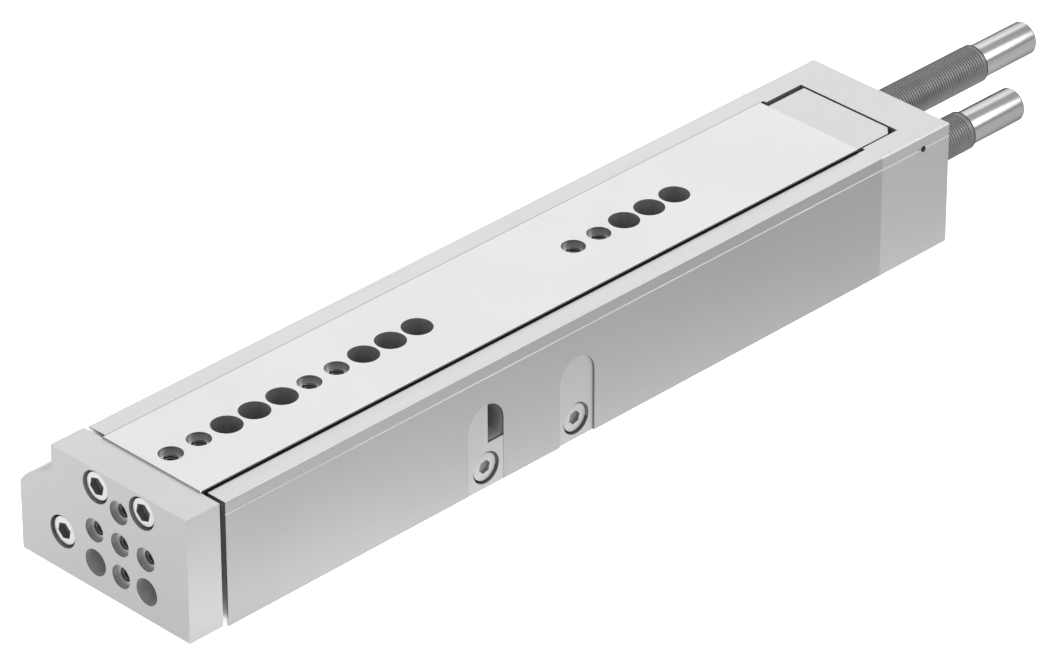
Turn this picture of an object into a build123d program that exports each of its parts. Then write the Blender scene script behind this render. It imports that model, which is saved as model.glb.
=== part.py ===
from build123d import *
import os

os.makedirs("parts", exist_ok=True)

# A pneumatic slide table in millimetres: X across, Y along the travel with the
# front plate towards -Y, Z up. The origin is in the mounting face, in the middle
# of the housing's front edge. The slide is drawn fully back.

# Travel and lengths
stroke = 150.0
housing_length = 252.4
cap_length = 28.0
cap_wall = 13.4
plate_gap = 1.8
plate_thickness = 11.8
slide_back_gap = 2.4

# Outline shared by the housing, the cap and the front plate
half_width = 26.5
body_height = 38.7
side_wall = 3.2
bump_radius = 16.8
bump_offset = (-2.4, -0.1)
bump_reach = 14.25
edge_chamfer = 0.15
cap_edge_chamfer = 0.3
plate_inset = 0.15
plate_lift = 0.8
plate_top_step = 0.5

# Slide and the channel that it runs in
slide_thickness = 10.6
slide_proud = 0.9
slide_edge = 0.3
channel_gap = 0.6
channel_floor_gap = 0.5
cap_channel_step = 0.5
hole_pitch = 10.0
first_hole = 7.0
thread_steps = (0, 1, 5, 6, 15, 16)
access_steps = (2, 3, 4, 7, 8, 9, 17, 18, 19)
access_diameter = 9.0
seat_diameter = 7.0
seat_depth = 1.6

# Ball guide: one row of balls each side, between the slide and a hardened strip
ball_diameter = 4.0
ball_play = 0.05
ball_row_drop = 6.4
balls_per_row = 5
ball_pitch = 21.0
cage_thickness = 0.8
cage_height = 5.6
cage_corner = 1.4
cage_margin = 6.0
guide_side_play = 0.4
raceway_depth = 3.0
raceway_height = 6.8

# Cylinder, rod and piston
bore_drop = 8.3
bore_diameter = 16.0
bore_wall = 1.9
fixed_play = 0.03
running_play = 0.05
rod_diameter = 8.0
ring_groove_start = 1.5
ring_thickness = 1.0
ring_groove_depth = 0.7
ring_width = 1.8
ring_opening = 7.0
bearing_length = 16.0
rod_seal_width = 3.0
rod_seal_depth = 1.8
rod_lip_gap = 0.6
rod_lip_depth = 1.0
seal_ring_section = 1.5
seal_ring_edge = 0.3
piston_play = 0.25
piston_half_length = 5.0
piston_seal_width = 2.0
piston_seal_depth = 1.7
magnet_length = 4.0
guide_ring_depth = 0.8
rod_stub_diameter = 5.0
piston_nut_flats = 8.0
piston_nut_length = 4.0
piston_end_gap = 1.5
spigot_length = 6.0

# Room under the slide for the shock absorbers and the rear block
block_side_step = 2.5
block_side_gap = 0.5
block_right_gap = 0.6
block_length = 16.1
block_corner = 2.4
block_gap = 0.6

# Shock absorbers, one for each end of the travel
absorber_top_gap = 1.0
absorber_floor_gap = 2.6
absorber_nose = 3.9
absorber_thread = 11.8
absorber_thread_length = 60.0
absorber_tail = 10.4
absorber_tail_length = 23.3
absorber_chamber = 8.6
absorber_guide = 3.0
absorber_edge = 0.5
absorber_nut_flats = 14.0
absorber_nut_length = 3.5
absorber_nut_gap = 0.42
absorber_key_flats = 4.0
absorber_key_depth = 3.0
plunger_diameter = 4.0
plunger_head_diameter = 6.0
plunger_head_length = 3.0
plunger_piston_diameter = 8.0
plunger_piston_length = 5.0
plunger_stroke = 8.0
plunger_rest = 0.3
retract_seat = 6.7
stop_gap = 0.1
absorber_clearance = 0.8
stop_pin_diameter = 5.0
stop_pin_shank = 3.0
stop_pin_seat = 8.0
stop_pin_side_gap = 0.7

# Stop for the forward end, and the spare place beside it
pocket_width = 13.4
pocket_depth = 6.0
pocket_pitch = 35.0
pocket_recess = (0.05, 0.5)
pocket_crown_drop = 2.0
stop_face_step = 0.7
window_sill = 0.9
insert_play = 0.05
stop_reach = 5.0
side_screw_z = 6.4
side_head_length = 3.0

# Side groove, sensor slot, ports and the cap's small hole
groove_drop = 3.8
housing_groove = 0.5
cap_groove = 0.9
cap_pin_inset = 2.6
cap_pin_drop = 4.1
cap_pin_diameter = 2.0
cap_pin_depth = 3.0
slot_mouth = 3.2
slot_inner = 5.2
slot_depth = 4.6
slot_lip = 1.4
port_depth = 5.0
housing_port_inset = 5.5
housing_port_drop = 5.9
air_passage = 2.0

# Screws and threads
m5 = 5.0
m5_core = 4.2
m5_clear = 5.5
m5_head = 8.5
m5_head_length = 5.0
m5_counterbore = 9.8
m5_hex = 4.0
m4 = 4.0
m4_clear = 4.5
m4_head = 7.0
m4_head_length = 4.0
m4_counterbore = 7.6
m4_hex = 3.0
hex_share = 0.5
head_edge = 0.4
head_recess = 0.6
thread_play = 0.04
screw_engagement = 8.0
tip_gap = 1.0
cap_screw_reach = 12.2
cap_screw_rise = 6.7
cap_screw_lower = 0.6
cap_screw_inset = 5.0
cap_screw_middle_x = -9.0

# Mounting holes in the underside
through_bolt_steps = (3, 8, 18)
through_seat_z = 6.0
through_counterbore = 9.2
base_thread_steps = (1.5, 5.5, 15.5, 21.5)
base_thread_core = 5.0
base_thread_depth = 9.0
base_seat_diameter = 9.0
base_seat_depth = 2.1

# Front plate holes
plate_centre_drop = 20.0
plate_hole_radius = 10.0
plate_screw_x = 9.0
plate_screw_drop = 6.1
plate_plain_x = 10.0
plate_plain_drop = 10.1
plate_plain_diameter = 8.0

# Places along Y
cap_rear = housing_length + cap_length
cap_wall_y = cap_rear - cap_wall
slide_front = -plate_gap
slide_rear = housing_length - slide_back_gap
block_rear = slide_rear + block_length
retract_front_y = cap_rear - retract_seat
advance_front_y = slide_rear - absorber_nose
stop_face_y = advance_front_y - plunger_rest - stop_gap - stroke
pocket_places = (stop_face_y - stop_face_step, stop_face_y - stop_face_step + pocket_pitch)
cap_pin_y = cap_wall_y + cap_pin_inset
ball_middle_y = (slide_front + slide_rear) / 2
cage_length = ball_pitch * (balls_per_row - 1) + 2 * cage_margin
bearing_front = ring_groove_start + ring_thickness + fixed_play
housing_port_y = bearing_front + bearing_length + housing_port_inset
cap_port_y = housing_length + cap_length / 2
piston_rear_y = housing_length - spigot_length - piston_end_gap - piston_nut_length
rod_shoulder_y = piston_rear_y - 2 * piston_half_length - magnet_length

# Heights, from the top down
slide_top = body_height + slide_proud
slide_bottom = slide_top - slide_thickness
channel_floor = slide_bottom - channel_floor_gap
ball_z = slide_top - ball_row_drop
raceway_bottom = ball_z - raceway_height / 2
raceway_top = ball_z + raceway_height / 2
plate_screw_z = slide_top - plate_screw_drop
plate_centre_z = slide_top - plate_centre_drop
plate_plain_z = plate_centre_z - plate_plain_drop
groove_z = body_height - groove_drop
cap_pin_z = body_height - cap_pin_drop
absorber_z = channel_floor - absorber_top_gap - absorber_thread / 2
cavity_floor = absorber_z - absorber_thread / 2 - absorber_floor_gap
pocket_crown_z = absorber_z - pocket_crown_drop
window_floor = cavity_floor + window_sill
bore_z = absorber_z - bore_drop

# Places across, from the right-hand side inwards
raceway_x = half_width - side_wall - raceway_depth
ball_x = raceway_x - guide_side_play - cage_thickness / 2
waist_x = ball_x - cage_thickness / 2 - guide_side_play
slide_half_width = ball_x - channel_gap / 2
channel_half_width = slide_half_width + channel_gap
cap_channel_half_width = slide_half_width - cap_channel_step
block_left = block_side_step - slide_half_width
block_right = cap_channel_half_width - block_right_gap
cavity_left = block_left - block_side_gap
cavity_right = half_width - pocket_depth
advance_x = cavity_right - absorber_nut_gap - absorber_nut_flats / 3**0.5
absorber_spacing = 2 * advance_x
retract_x = advance_x - absorber_spacing
bore_radius = bore_diameter / 2
bore_room = bore_radius + bore_wall
pin_distance = bore_room + block_gap + stop_pin_diameter / 2 + stop_pin_side_gap
bore_x = retract_x - (pin_distance**2 - bore_drop**2) ** 0.5
bore_centre = (bore_x, bore_z)
bump_centre = (bore_x + bump_offset[0], bore_z + bump_offset[1])
bump_wall_x = bump_centre[0] - bump_reach
rod_radius = rod_diameter / 2
ball_groove_radius = ball_diameter / 2 + ball_play
cap_screw_places = (
    (bore_x - cap_screw_reach, bore_z + cap_screw_rise),
    (bore_x - cap_screw_reach, bore_z / 2 - cap_screw_lower),
    (cap_screw_middle_x, cavity_floor / 2 - cap_screw_lower),
    (half_width - cap_screw_inset, cavity_floor / 2 - cap_screw_lower),
)


def hole_y(step):
    """Where a hole stands along the slide, counted in hole pitches."""
    return slide_front + first_hole + hole_pitch * step


def bar_y(x, z, radius, y0, y1):
    """A round bar along Y."""
    return Plane(origin=(x, y0, z), x_dir=(1, 0, 0), z_dir=(0, 1, 0)) * extrude(Circle(radius), y1 - y0)


def bar_z(x, y, radius, z0, z1):
    return Pos(x, y, z0) * extrude(Circle(radius), z1 - z0)


def bar_x(y, z, radius, x0, x1):
    return Plane(origin=(x0, y, z), x_dir=(0, 1, 0), z_dir=(1, 0, 0)) * extrude(Circle(radius), x1 - x0)


def hexagon(flats):
    return RegularPolygon(flats / 2, 6, major_radius=False)


def block(x0, x1, y0, y1, z0, z1):
    return Pos((x0 + x1) / 2, (y0 + y1) / 2, (z0 + z1) / 2) * Box(x1 - x0, y1 - y0, z1 - z0)


def lay_y(outline, y0, y1):
    """Extrudes an outline drawn in X and Z from y0 to y1."""
    return Plane(origin=(0, y1, 0), x_dir=(1, 0, 0), z_dir=(0, -1, 0)) * extrude(outline, y1 - y0)


def lay_x(outline, x0, x1):
    """Extrudes an outline drawn in Y and Z from x0 to x1."""
    return Plane(origin=(x0, 0, 0), x_dir=(0, 1, 0), z_dir=(1, 0, 0)) * extrude(outline, x1 - x0)


def turned_y(x, z, y_start, steps):
    """A stepped round bar along +Y, from pairs of radius and length."""
    at = y_start
    bar = None
    for radius, length in steps:
        step = bar_y(x, z, radius, at, at + length)
        bar = step if bar is None else bar + step
        at += length
    return bar


def ring_y(x, z, outer, inner, y0, y1):
    return bar_y(x, z, outer, y0, y1) - bar_y(x, z, inner, y0, y1)


def body_outline(inset, bottom, top):
    """The section in X and Z, with its rounded bump over the cylinder."""
    cx, cz = bump_centre
    side = half_width - inset
    radius = bump_radius - inset
    wall = bump_wall_x + inset
    shoulder_z = cz + (radius**2 - (side + cx) ** 2) ** 0.5
    spring_z = cz + (radius**2 - (wall - cx) ** 2) ** 0.5
    crown_x = (wall - side) / 2
    crown = (crown_x, cz + (radius**2 - (crown_x - cx) ** 2) ** 0.5)
    edges = [
        Line((wall, bottom), (wall, spring_z)),
        ThreePointArc((wall, spring_z), crown, (-side, shoulder_z)),
        Line((-side, shoulder_z), (-side, top)),
        Line((-side, top), (side, top)),
        Line((side, top), (side, bottom)),
        Line((side, bottom), (wall, bottom)),
    ]
    return make_face(edges)


def room_outline(left, right, floor, top, round_wall):
    """The space under the slide, with the cylinder's round wall left standing."""
    room = Pos((left + right) / 2, (floor + top) / 2) * Rectangle(right - left, top - floor)
    return room - Pos(*bore_centre) * Circle(round_wall)


def channel(half, right, y0, y1):
    """What the slide, the rear block and the absorbers need inside a body."""
    above = block(-half, half, y0, y1, channel_floor, slide_top)
    below = room_outline(cavity_left, right, cavity_floor, channel_floor, bore_room)
    return above + lay_y(below, y0, y1)


def side_groove(height, y0, y1):
    """A fine V groove along the right-hand side."""
    tip = half_width - height / 2
    low = (half_width, groove_z - height / 2)
    high = (half_width, groove_z + height / 2)
    return lay_y(make_face(Polyline(low, high, (tip, groove_z), close=True)), y0, y1)


def socket_screw(head, head_length, shank, shank_length, key):
    """A cap screw along Z with its head above the origin."""
    top = extrude(Circle(head / 2), head_length)
    top = chamfer(top.edges().group_by(Axis.Z)[-1], head_edge)
    depth = hex_share * head_length
    top -= Pos(0, 0, head_length - depth) * extrude(hexagon(key), depth)
    return top + Pos(0, 0, -shank_length) * extrude(Circle(shank / 2), shank_length)


def screw_towards(direction, place, *sizes):
    across = (0, 0, 1) if direction[0] else (1, 0, 0)
    return Plane(origin=place, x_dir=across, z_dir=direction) * socket_screw(*sizes)


def arch(width, bottom, crown_z):
    """An upright outline with a round top, drawn about its own middle."""
    leg = Pos(0, (bottom + crown_z) / 2) * Rectangle(width, crown_z - bottom)
    return leg + Pos(0, crown_z) * Circle(width / 2)


def make_housing():
    body = lay_y(body_outline(0, 0, body_height), 0, housing_length)
    body = chamfer(body.edges().filter_by(Axis.Y).group_by(Axis.Z)[-1], edge_chamfer)
    body -= channel(channel_half_width, cavity_right, 0, housing_length)
    for side in (-1, 1):
        inner = side * channel_half_width / 2
        outer = side * (raceway_x + raceway_depth)
        low_x, high_x = sorted((inner, outer))
        body -= block(low_x, high_x, 0, housing_length, raceway_bottom, raceway_top)
    x, z = bore_centre
    body -= bar_y(x, z, bore_radius, 0, housing_length)
    groove_end = ring_groove_start + ring_thickness + 2 * fixed_play
    body -= bar_y(x, z, bore_radius + ring_groove_depth, ring_groove_start, groove_end)
    for y in pocket_places:
        body -= lay_x(Pos(y, 0) * arch(pocket_width, 0, pocket_crown_z), cavity_right, half_width)
        depth = screw_engagement + tip_gap
        body -= bar_x(y, side_screw_z, m5 / 2 + thread_play, cavity_right - depth, cavity_right)
    for y in [hole_y(step) for step in through_bolt_steps]:
        body -= bar_z(0, y, m5_clear / 2, 0, cavity_floor)
        body -= bar_z(0, y, through_counterbore / 2, through_seat_z, cavity_floor)
    for y in [hole_y(step) for step in base_thread_steps]:
        body -= bar_z(0, y, base_thread_core / 2, 0, base_thread_depth)
        body -= bar_z(0, y, base_seat_diameter / 2, 0, base_seat_depth)
    for place in cap_screw_places:
        depth = screw_engagement + tip_gap
        body -= bar_y(*place, m4 / 2 + thread_play, housing_length - depth, housing_length)
    body -= side_groove(housing_groove, 0, housing_length)
    body -= sensor_slot()
    port_z = z - housing_port_drop
    body -= bar_x(housing_port_y, port_z, m5_core / 2, bump_wall_x, bump_wall_x + port_depth)
    body -= bar_x(housing_port_y, port_z, air_passage / 2, bump_wall_x, x)
    return body


def sensor_slot():
    """The T-slot for position sensors in the bump's flat wall."""
    back = bump_wall_x + slot_depth
    low, high = bore_z - slot_mouth / 2, bore_z + slot_mouth / 2
    mouth = block(bump_wall_x, back, 0, housing_length, low, high)
    low, high = bore_z - slot_inner / 2, bore_z + slot_inner / 2
    return mouth + block(bump_wall_x + slot_lip, back, 0, housing_length, low, high)


def make_end_cap():
    x, z = bore_centre
    body = lay_y(body_outline(0, 0, body_height), housing_length, cap_rear)
    body = chamfer(body.edges().filter_by(Axis.Y).group_by(Axis.Z)[-1], cap_edge_chamfer)
    body -= channel(cap_channel_half_width, cap_channel_half_width, housing_length, cap_wall_y)
    body += bar_y(x, z, bore_radius - fixed_play, housing_length - spigot_length, housing_length)
    body -= seal_groove(cap_seal_y())
    body -= bar_y(retract_x, absorber_z, absorber_thread / 2 + running_play, cap_wall_y, cap_rear)
    body -= bar_y(advance_x, absorber_z, absorber_thread / 2 + absorber_clearance, cap_wall_y, cap_rear)
    seat_y = cap_rear - m4_head_length - head_recess
    for place in cap_screw_places:
        body -= bar_y(*place, m4_clear / 2, housing_length, cap_rear)
        body -= bar_y(*place, m4_counterbore / 2, seat_y, cap_rear)
    body -= bar_x(cap_port_y, z, m5_core / 2, bump_wall_x, bump_wall_x + port_depth)
    body -= bar_x(cap_port_y, z, air_passage / 2, bump_wall_x, x)
    body -= bar_y(x, z, air_passage / 2, housing_length - spigot_length, cap_port_y + air_passage / 2)
    body -= side_groove(cap_groove, housing_length, cap_rear)
    body -= bar_x(cap_pin_y, cap_pin_z, cap_pin_diameter / 2, half_width - cap_pin_depth, half_width)
    return body


def make_cap_screws():
    seat_y = cap_rear - m4_head_length - head_recess
    length = seat_y - housing_length + screw_engagement
    sizes = (m4_head, m4_head_length, m4, length, m4_hex)
    return [screw_towards((0, 1, 0), (x, seat_y, z), *sizes) for x, z in cap_screw_places]


def seal_groove(y):
    """The groove for a square seal ring between the bore and what it holds."""
    half = seal_ring_section / 2 + running_play
    return ring_y(*bore_centre, bore_radius, bore_radius - seal_ring_section, y - half, y + half)


def make_seal_ring(y):
    """A square-cut seal ring with eased corners, in its groove at y."""
    half = seal_ring_section / 2
    outer = bore_radius - fixed_play
    ring = ring_y(*bore_centre, outer, bore_radius - seal_ring_section + fixed_play, y - half, y + half)
    rims = [e for e in ring.edges().filter_by(GeomType.CIRCLE) if abs(e.radius - outer) < fixed_play]
    return chamfer(rims, seal_ring_edge)


def cap_seal_y():
    return housing_length - spigot_length / 2


def bearing_seal_y():
    return bearing_front + bearing_length / 2 + rod_seal_width / 2


def make_raceway(side):
    """A hardened strip in the channel wall, with the groove that the balls roll in."""
    low_x, high_x = sorted((side * raceway_x, side * (raceway_x + raceway_depth)))
    strip = block(low_x, high_x, 0, housing_length, raceway_bottom, raceway_top)
    return strip - bar_y(side * ball_x, ball_z, ball_groove_radius, 0, housing_length)


def ball_places():
    first = ball_middle_y - ball_pitch * (balls_per_row - 1) / 2
    return [first + ball_pitch * i for i in range(balls_per_row)]


def make_cage(side):
    """A thin strip with a round window for each ball."""
    low_x, high_x = sorted((side * (ball_x - cage_thickness / 2), side * (ball_x + cage_thickness / 2)))
    low_y = ball_middle_y - cage_length / 2
    low_z = ball_z - cage_height / 2
    strip = block(low_x, high_x, low_y, low_y + cage_length, low_z, low_z + cage_height)
    strip = fillet(strip.edges().filter_by(Axis.X), cage_corner)
    for y in ball_places():
        strip -= bar_x(y, ball_z, ball_groove_radius, low_x, high_x)
    return strip


def make_balls(side):
    return [Pos(side * ball_x, y, ball_z) * Sphere(ball_diameter / 2) for y in ball_places()]


def make_rod_bearing():
    """The bush that guides the rod, with seats for its wiper and its seal ring."""
    x, z = bore_centre
    rear = bearing_front + bearing_length
    bush = ring_y(x, z, bore_radius - fixed_play, rod_radius + running_play, bearing_front, rear)
    seat_radius = rod_radius + rod_seal_depth
    bush -= bar_y(x, z, seat_radius, bearing_front, bearing_front + rod_seal_width)
    return bush - seal_groove(bearing_seal_y())


def make_rod_seal():
    """The wiper, with a lip that leans out towards the rod's free end."""
    x, z = bore_centre
    outer = rod_radius + rod_seal_depth - fixed_play
    seal = ring_y(x, z, outer, rod_radius + running_play, bearing_front, bearing_front + rod_seal_width)
    lip_outer = outer - rod_lip_gap
    lip_inner = rod_radius + rod_lip_gap
    return seal - ring_y(x, z, lip_outer, lip_inner, bearing_front, bearing_front + rod_lip_depth)


def make_retaining_ring():
    """An inside circlip, open at the bottom, in the mouth of the bore."""
    x, z = bore_centre
    outer = bore_radius + ring_groove_depth - fixed_play
    rear = ring_groove_start + ring_thickness
    ring = ring_y(x, z, outer, outer - ring_width, ring_groove_start, rear)
    half = ring_opening / 2
    return ring - block(x - half, x + half, ring_groove_start, rear, z - 2 * outer, z)


def make_stop_block():
    """The forward stop: a flange in the side pocket and an arm into the room inside."""
    y = pocket_places[0]
    outer_x = half_width - pocket_recess[0]
    outline = Pos(y, 0) * arch(pocket_width - 2 * insert_play, 0, pocket_crown_z)
    flange = lay_x(outline, cavity_right + insert_play, outer_x)
    top = pocket_crown_z + pocket_width
    flange -= block(cavity_left, half_width, stop_face_y, y + pocket_width, window_floor, top)
    arm = lay_x(outline, advance_x - stop_reach, cavity_right + insert_play)
    arm -= block(cavity_left, half_width, stop_face_y, y + pocket_width, 0, top)
    floor = cavity_floor + insert_play
    arm -= block(cavity_left, half_width, y - pocket_width, y + pocket_width, 0, floor)
    return flange + arm - side_screw_hole(y, outer_x)


def side_screw_hole(y, outer_x):
    seat_x = outer_x - side_head_length - head_recess
    hole = bar_x(y, side_screw_z, m5_clear / 2, cavity_right, outer_x)
    return hole + bar_x(y, side_screw_z, m5_counterbore / 2, seat_x, outer_x)


def make_pocket_cover():
    y = pocket_places[1]
    outer_x = half_width - pocket_recess[1]
    outline = Pos(y, 0) * arch(pocket_width - 2 * insert_play, 0, pocket_crown_z)
    return lay_x(outline, cavity_right + insert_play, outer_x) - side_screw_hole(y, outer_x)


def make_side_screw(index):
    outer_x = half_width - pocket_recess[index]
    seat_x = outer_x - side_head_length - head_recess
    length = seat_x - cavity_right + screw_engagement
    place = (seat_x, pocket_places[index], side_screw_z)
    return screw_towards((1, 0, 0), place, m5_head, side_head_length, m5, length, m5_hex)


def make_absorber(x, front_y):
    """The threaded body of a shock absorber, bored for its plunger from the front."""
    rear = front_y + absorber_thread_length + absorber_tail_length
    steps = [
        (absorber_thread / 2, absorber_thread_length),
        (absorber_tail / 2, absorber_tail_length),
    ]
    body = turned_y(x, absorber_z, front_y, steps)
    ends = body.edges().filter_by(GeomType.CIRCLE).group_by(Axis.Y)
    body = chamfer(ends[0] + ends[-1], absorber_edge)
    mouth = plunger_head_length + running_play
    guide_end = front_y + mouth + absorber_guide
    body -= bar_y(x, absorber_z, plunger_head_diameter / 2 + 2 * running_play, front_y, front_y + mouth)
    body -= bar_y(x, absorber_z, plunger_diameter / 2 + running_play, front_y, guide_end)
    chamber_end = rear - absorber_key_depth - absorber_guide
    body -= bar_y(x, absorber_z, absorber_chamber / 2, guide_end, chamber_end)
    key = Plane(origin=(x, rear, absorber_z), x_dir=(1, 0, 0), z_dir=(0, -1, 0))
    return body - key * extrude(hexagon(absorber_key_flats), absorber_key_depth)


def make_plunger(x, front_y, out):
    """A plunger with its bumper and its inner piston, out by a given length."""
    tip = front_y - plunger_rest - out
    inside = front_y + plunger_head_length + absorber_guide + plunger_stroke + running_play
    rod_length = inside - front_y + plunger_rest - plunger_head_length
    steps = [
        (plunger_head_diameter / 2, plunger_head_length),
        (plunger_diameter / 2, rod_length),
        (plunger_piston_diameter / 2, plunger_piston_length),
    ]
    plunger = turned_y(x, absorber_z, tip, steps)
    nose = plunger.edges().filter_by(GeomType.CIRCLE).group_by(Axis.Y)[0]
    return chamfer(nose, absorber_edge)


def make_absorber_nut(x, y0):
    """A thin hexagon lock nut, its flats level so that it clears the slide."""
    plane = Plane(origin=(x, y0, absorber_z), x_dir=(0, 0, 1), z_dir=(0, 1, 0))
    nut = plane * extrude(Rot(0, 0, 30) * hexagon(absorber_nut_flats), absorber_nut_length)
    hole = bar_y(x, absorber_z, absorber_thread / 2 + running_play, y0, y0 + absorber_nut_length)
    return nut - hole


def make_slide():
    """The slide: a flat bar with a lip over each ball row and a groove below it."""
    half = [
        (0, slide_bottom),
        (waist_x - slide_edge, slide_bottom),
        (waist_x, slide_bottom + slide_edge),
        (waist_x, raceway_top),
        (slide_half_width, raceway_top),
        (slide_half_width, slide_top - slide_edge),
        (slide_half_width - slide_edge, slide_top),
        (0, slide_top),
    ]
    right = make_face(Polyline(*half, close=True)) - Pos(ball_x, ball_z) * Circle(ball_groove_radius)
    section = right + mirror(right, Plane.YZ)
    bar = lay_y(section, slide_front, slide_rear)
    for y in [hole_y(step) for step in thread_steps]:
        bar -= bar_z(0, y, m5_core / 2, slide_bottom, slide_top)
        bar -= bar_z(0, y, seat_diameter / 2, slide_top - seat_depth, slide_top)
    for y in [hole_y(step) for step in access_steps]:
        bar -= bar_z(0, y, access_diameter / 2, slide_bottom, slide_top)
    depth = screw_engagement + tip_gap
    for x in (-plate_screw_x, plate_screw_x):
        bar -= bar_y(x, plate_screw_z, m5 / 2 + thread_play, slide_front, slide_front + depth)
        bar -= bar_y(x, plate_screw_z, m5 / 2 + thread_play, slide_rear - depth, slide_rear)
    return bar


def plate_screw_places():
    x, z = bore_centre
    return [(-plate_screw_x, plate_screw_z), (plate_screw_x, plate_screw_z), (x, z)]


def make_front_plate():
    front = slide_front - plate_thickness
    plate = lay_y(body_outline(plate_inset, plate_lift, slide_top - plate_top_step), front, slide_front)
    seat_y = front + m5_head_length + head_recess
    for x, z in plate_screw_places():
        plate -= bar_y(x, z, m5_clear / 2, front, slide_front)
        plate -= bar_y(x, z, m5_counterbore / 2, front, seat_y)
    r = plate_hole_radius
    for dx, dz in ((0, 0), (r, 0), (-r, 0), (0, r), (0, -r)):
        plate -= bar_y(dx, plate_centre_z + dz, m5_core / 2, front, slide_front)
        plate -= bar_y(dx, plate_centre_z + dz, seat_diameter / 2, front, front + seat_depth)
    for x in (-plate_plain_x, plate_plain_x):
        plate -= bar_y(x, plate_plain_z, plate_plain_diameter / 2, front, slide_front)
    return plate


def make_plate_screw(x, z):
    seat_y = slide_front - plate_thickness + m5_head_length + head_recess
    length = slide_front - seat_y + screw_engagement
    return screw_towards((0, -1, 0), (x, seat_y, z), m5_head, m5_head_length, m5, length, m5_hex)


def make_piston_rod():
    """The rod from the front plate to the piston, with a stub that the piston sits on."""
    x, z = bore_centre
    stub = piston_rear_y + piston_nut_length - rod_shoulder_y
    steps = [(rod_radius, rod_shoulder_y - slide_front), (rod_stub_diameter / 2, stub)]
    rod = turned_y(x, z, slide_front, steps)
    depth = screw_engagement + tip_gap
    return rod - bar_y(x, z, m5 / 2 + thread_play, slide_front, slide_front + depth)


def make_piston_half(y0, seal_y):
    """Half a piston with the groove for its lip seal."""
    x, z = bore_centre
    outer = bore_radius - piston_play
    half = ring_y(x, z, outer, rod_stub_diameter / 2 + fixed_play, y0, y0 + piston_half_length)
    low, high = seal_y - piston_seal_width / 2, seal_y + piston_seal_width / 2
    return half - ring_y(x, z, outer, outer - piston_seal_depth, low, high)


def piston_seal_places():
    half = piston_half_length / 2
    return (rod_shoulder_y + half, piston_rear_y - half)


def make_piston_seals():
    x, z = bore_centre
    outer = bore_radius - running_play
    inner = bore_radius - piston_play - piston_seal_depth + fixed_play
    half = piston_seal_width / 2 - fixed_play
    return [ring_y(x, z, outer, inner, y - half, y + half) for y in piston_seal_places()]


def make_piston_magnet():
    x, z = bore_centre
    outer = bore_radius - piston_play - guide_ring_depth
    start = rod_shoulder_y + piston_half_length
    return ring_y(x, z, outer, rod_stub_diameter / 2 + fixed_play, start, start + magnet_length)


def make_guide_ring():
    x, z = bore_centre
    inner = bore_radius - piston_play - guide_ring_depth + fixed_play
    start = rod_shoulder_y + piston_half_length
    return ring_y(x, z, bore_radius - running_play, inner, start, start + magnet_length)


def make_piston_nut():
    x, z = bore_centre
    plane = Plane(origin=(x, piston_rear_y, z), x_dir=(1, 0, 0), z_dir=(0, 1, 0))
    nut = plane * extrude(hexagon(piston_nut_flats), piston_nut_length)
    inner = rod_stub_diameter / 2 + fixed_play
    return nut - bar_y(x, z, inner, piston_rear_y, piston_rear_y + piston_nut_length)


def make_rear_block():
    """Carries the forward absorber, cut away round the cylinder wall."""
    floor = cavity_floor + block_gap
    outline = room_outline(block_left, block_right, floor, body_height, bore_room + block_gap)
    body = lay_y(outline, slide_rear, block_rear)
    rear_face = body.faces().sort_by(Axis.Y)[-1]
    body = chamfer(rear_face.edges().filter_by(Axis.Z).sort_by(Axis.X)[-1], block_corner)
    body -= bar_y(advance_x, absorber_z, absorber_thread / 2 + running_play, slide_rear, block_rear)
    pin_seat = block_rear - stop_pin_seat
    body -= bar_y(retract_x, absorber_z, stop_pin_shank / 2 + fixed_play, pin_seat, block_rear)
    seat_y = block_rear - m5_head_length - head_recess
    for x in (-plate_screw_x, plate_screw_x):
        body -= bar_y(x, plate_screw_z, m5_clear / 2, slide_rear, block_rear)
        body -= bar_y(x, plate_screw_z, m5_counterbore / 2, seat_y, block_rear)
    return body


def make_rear_block_screws():
    seat_y = block_rear - m5_head_length - head_recess
    length = seat_y - slide_rear + screw_engagement
    sizes = (m5_head, m5_head_length, m5, length, m5_hex)
    places = ((-plate_screw_x, seat_y, plate_screw_z), (plate_screw_x, seat_y, plate_screw_z))
    return [screw_towards((0, 1, 0), place, *sizes) for place in places]


def make_stop_pin():
    """The hardened pin on the rear block that meets the rear absorber's plunger."""
    length = retract_front_y - plunger_rest - stop_gap - block_rear
    shank = stop_pin_seat - tip_gap
    steps = [(stop_pin_shank / 2, shank), (stop_pin_diameter / 2, length)]
    pin = turned_y(retract_x, absorber_z, block_rear - shank, steps)
    return chamfer(pin.edges().filter_by(GeomType.CIRCLE).group_by(Axis.Y)[-1], head_edge)


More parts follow.
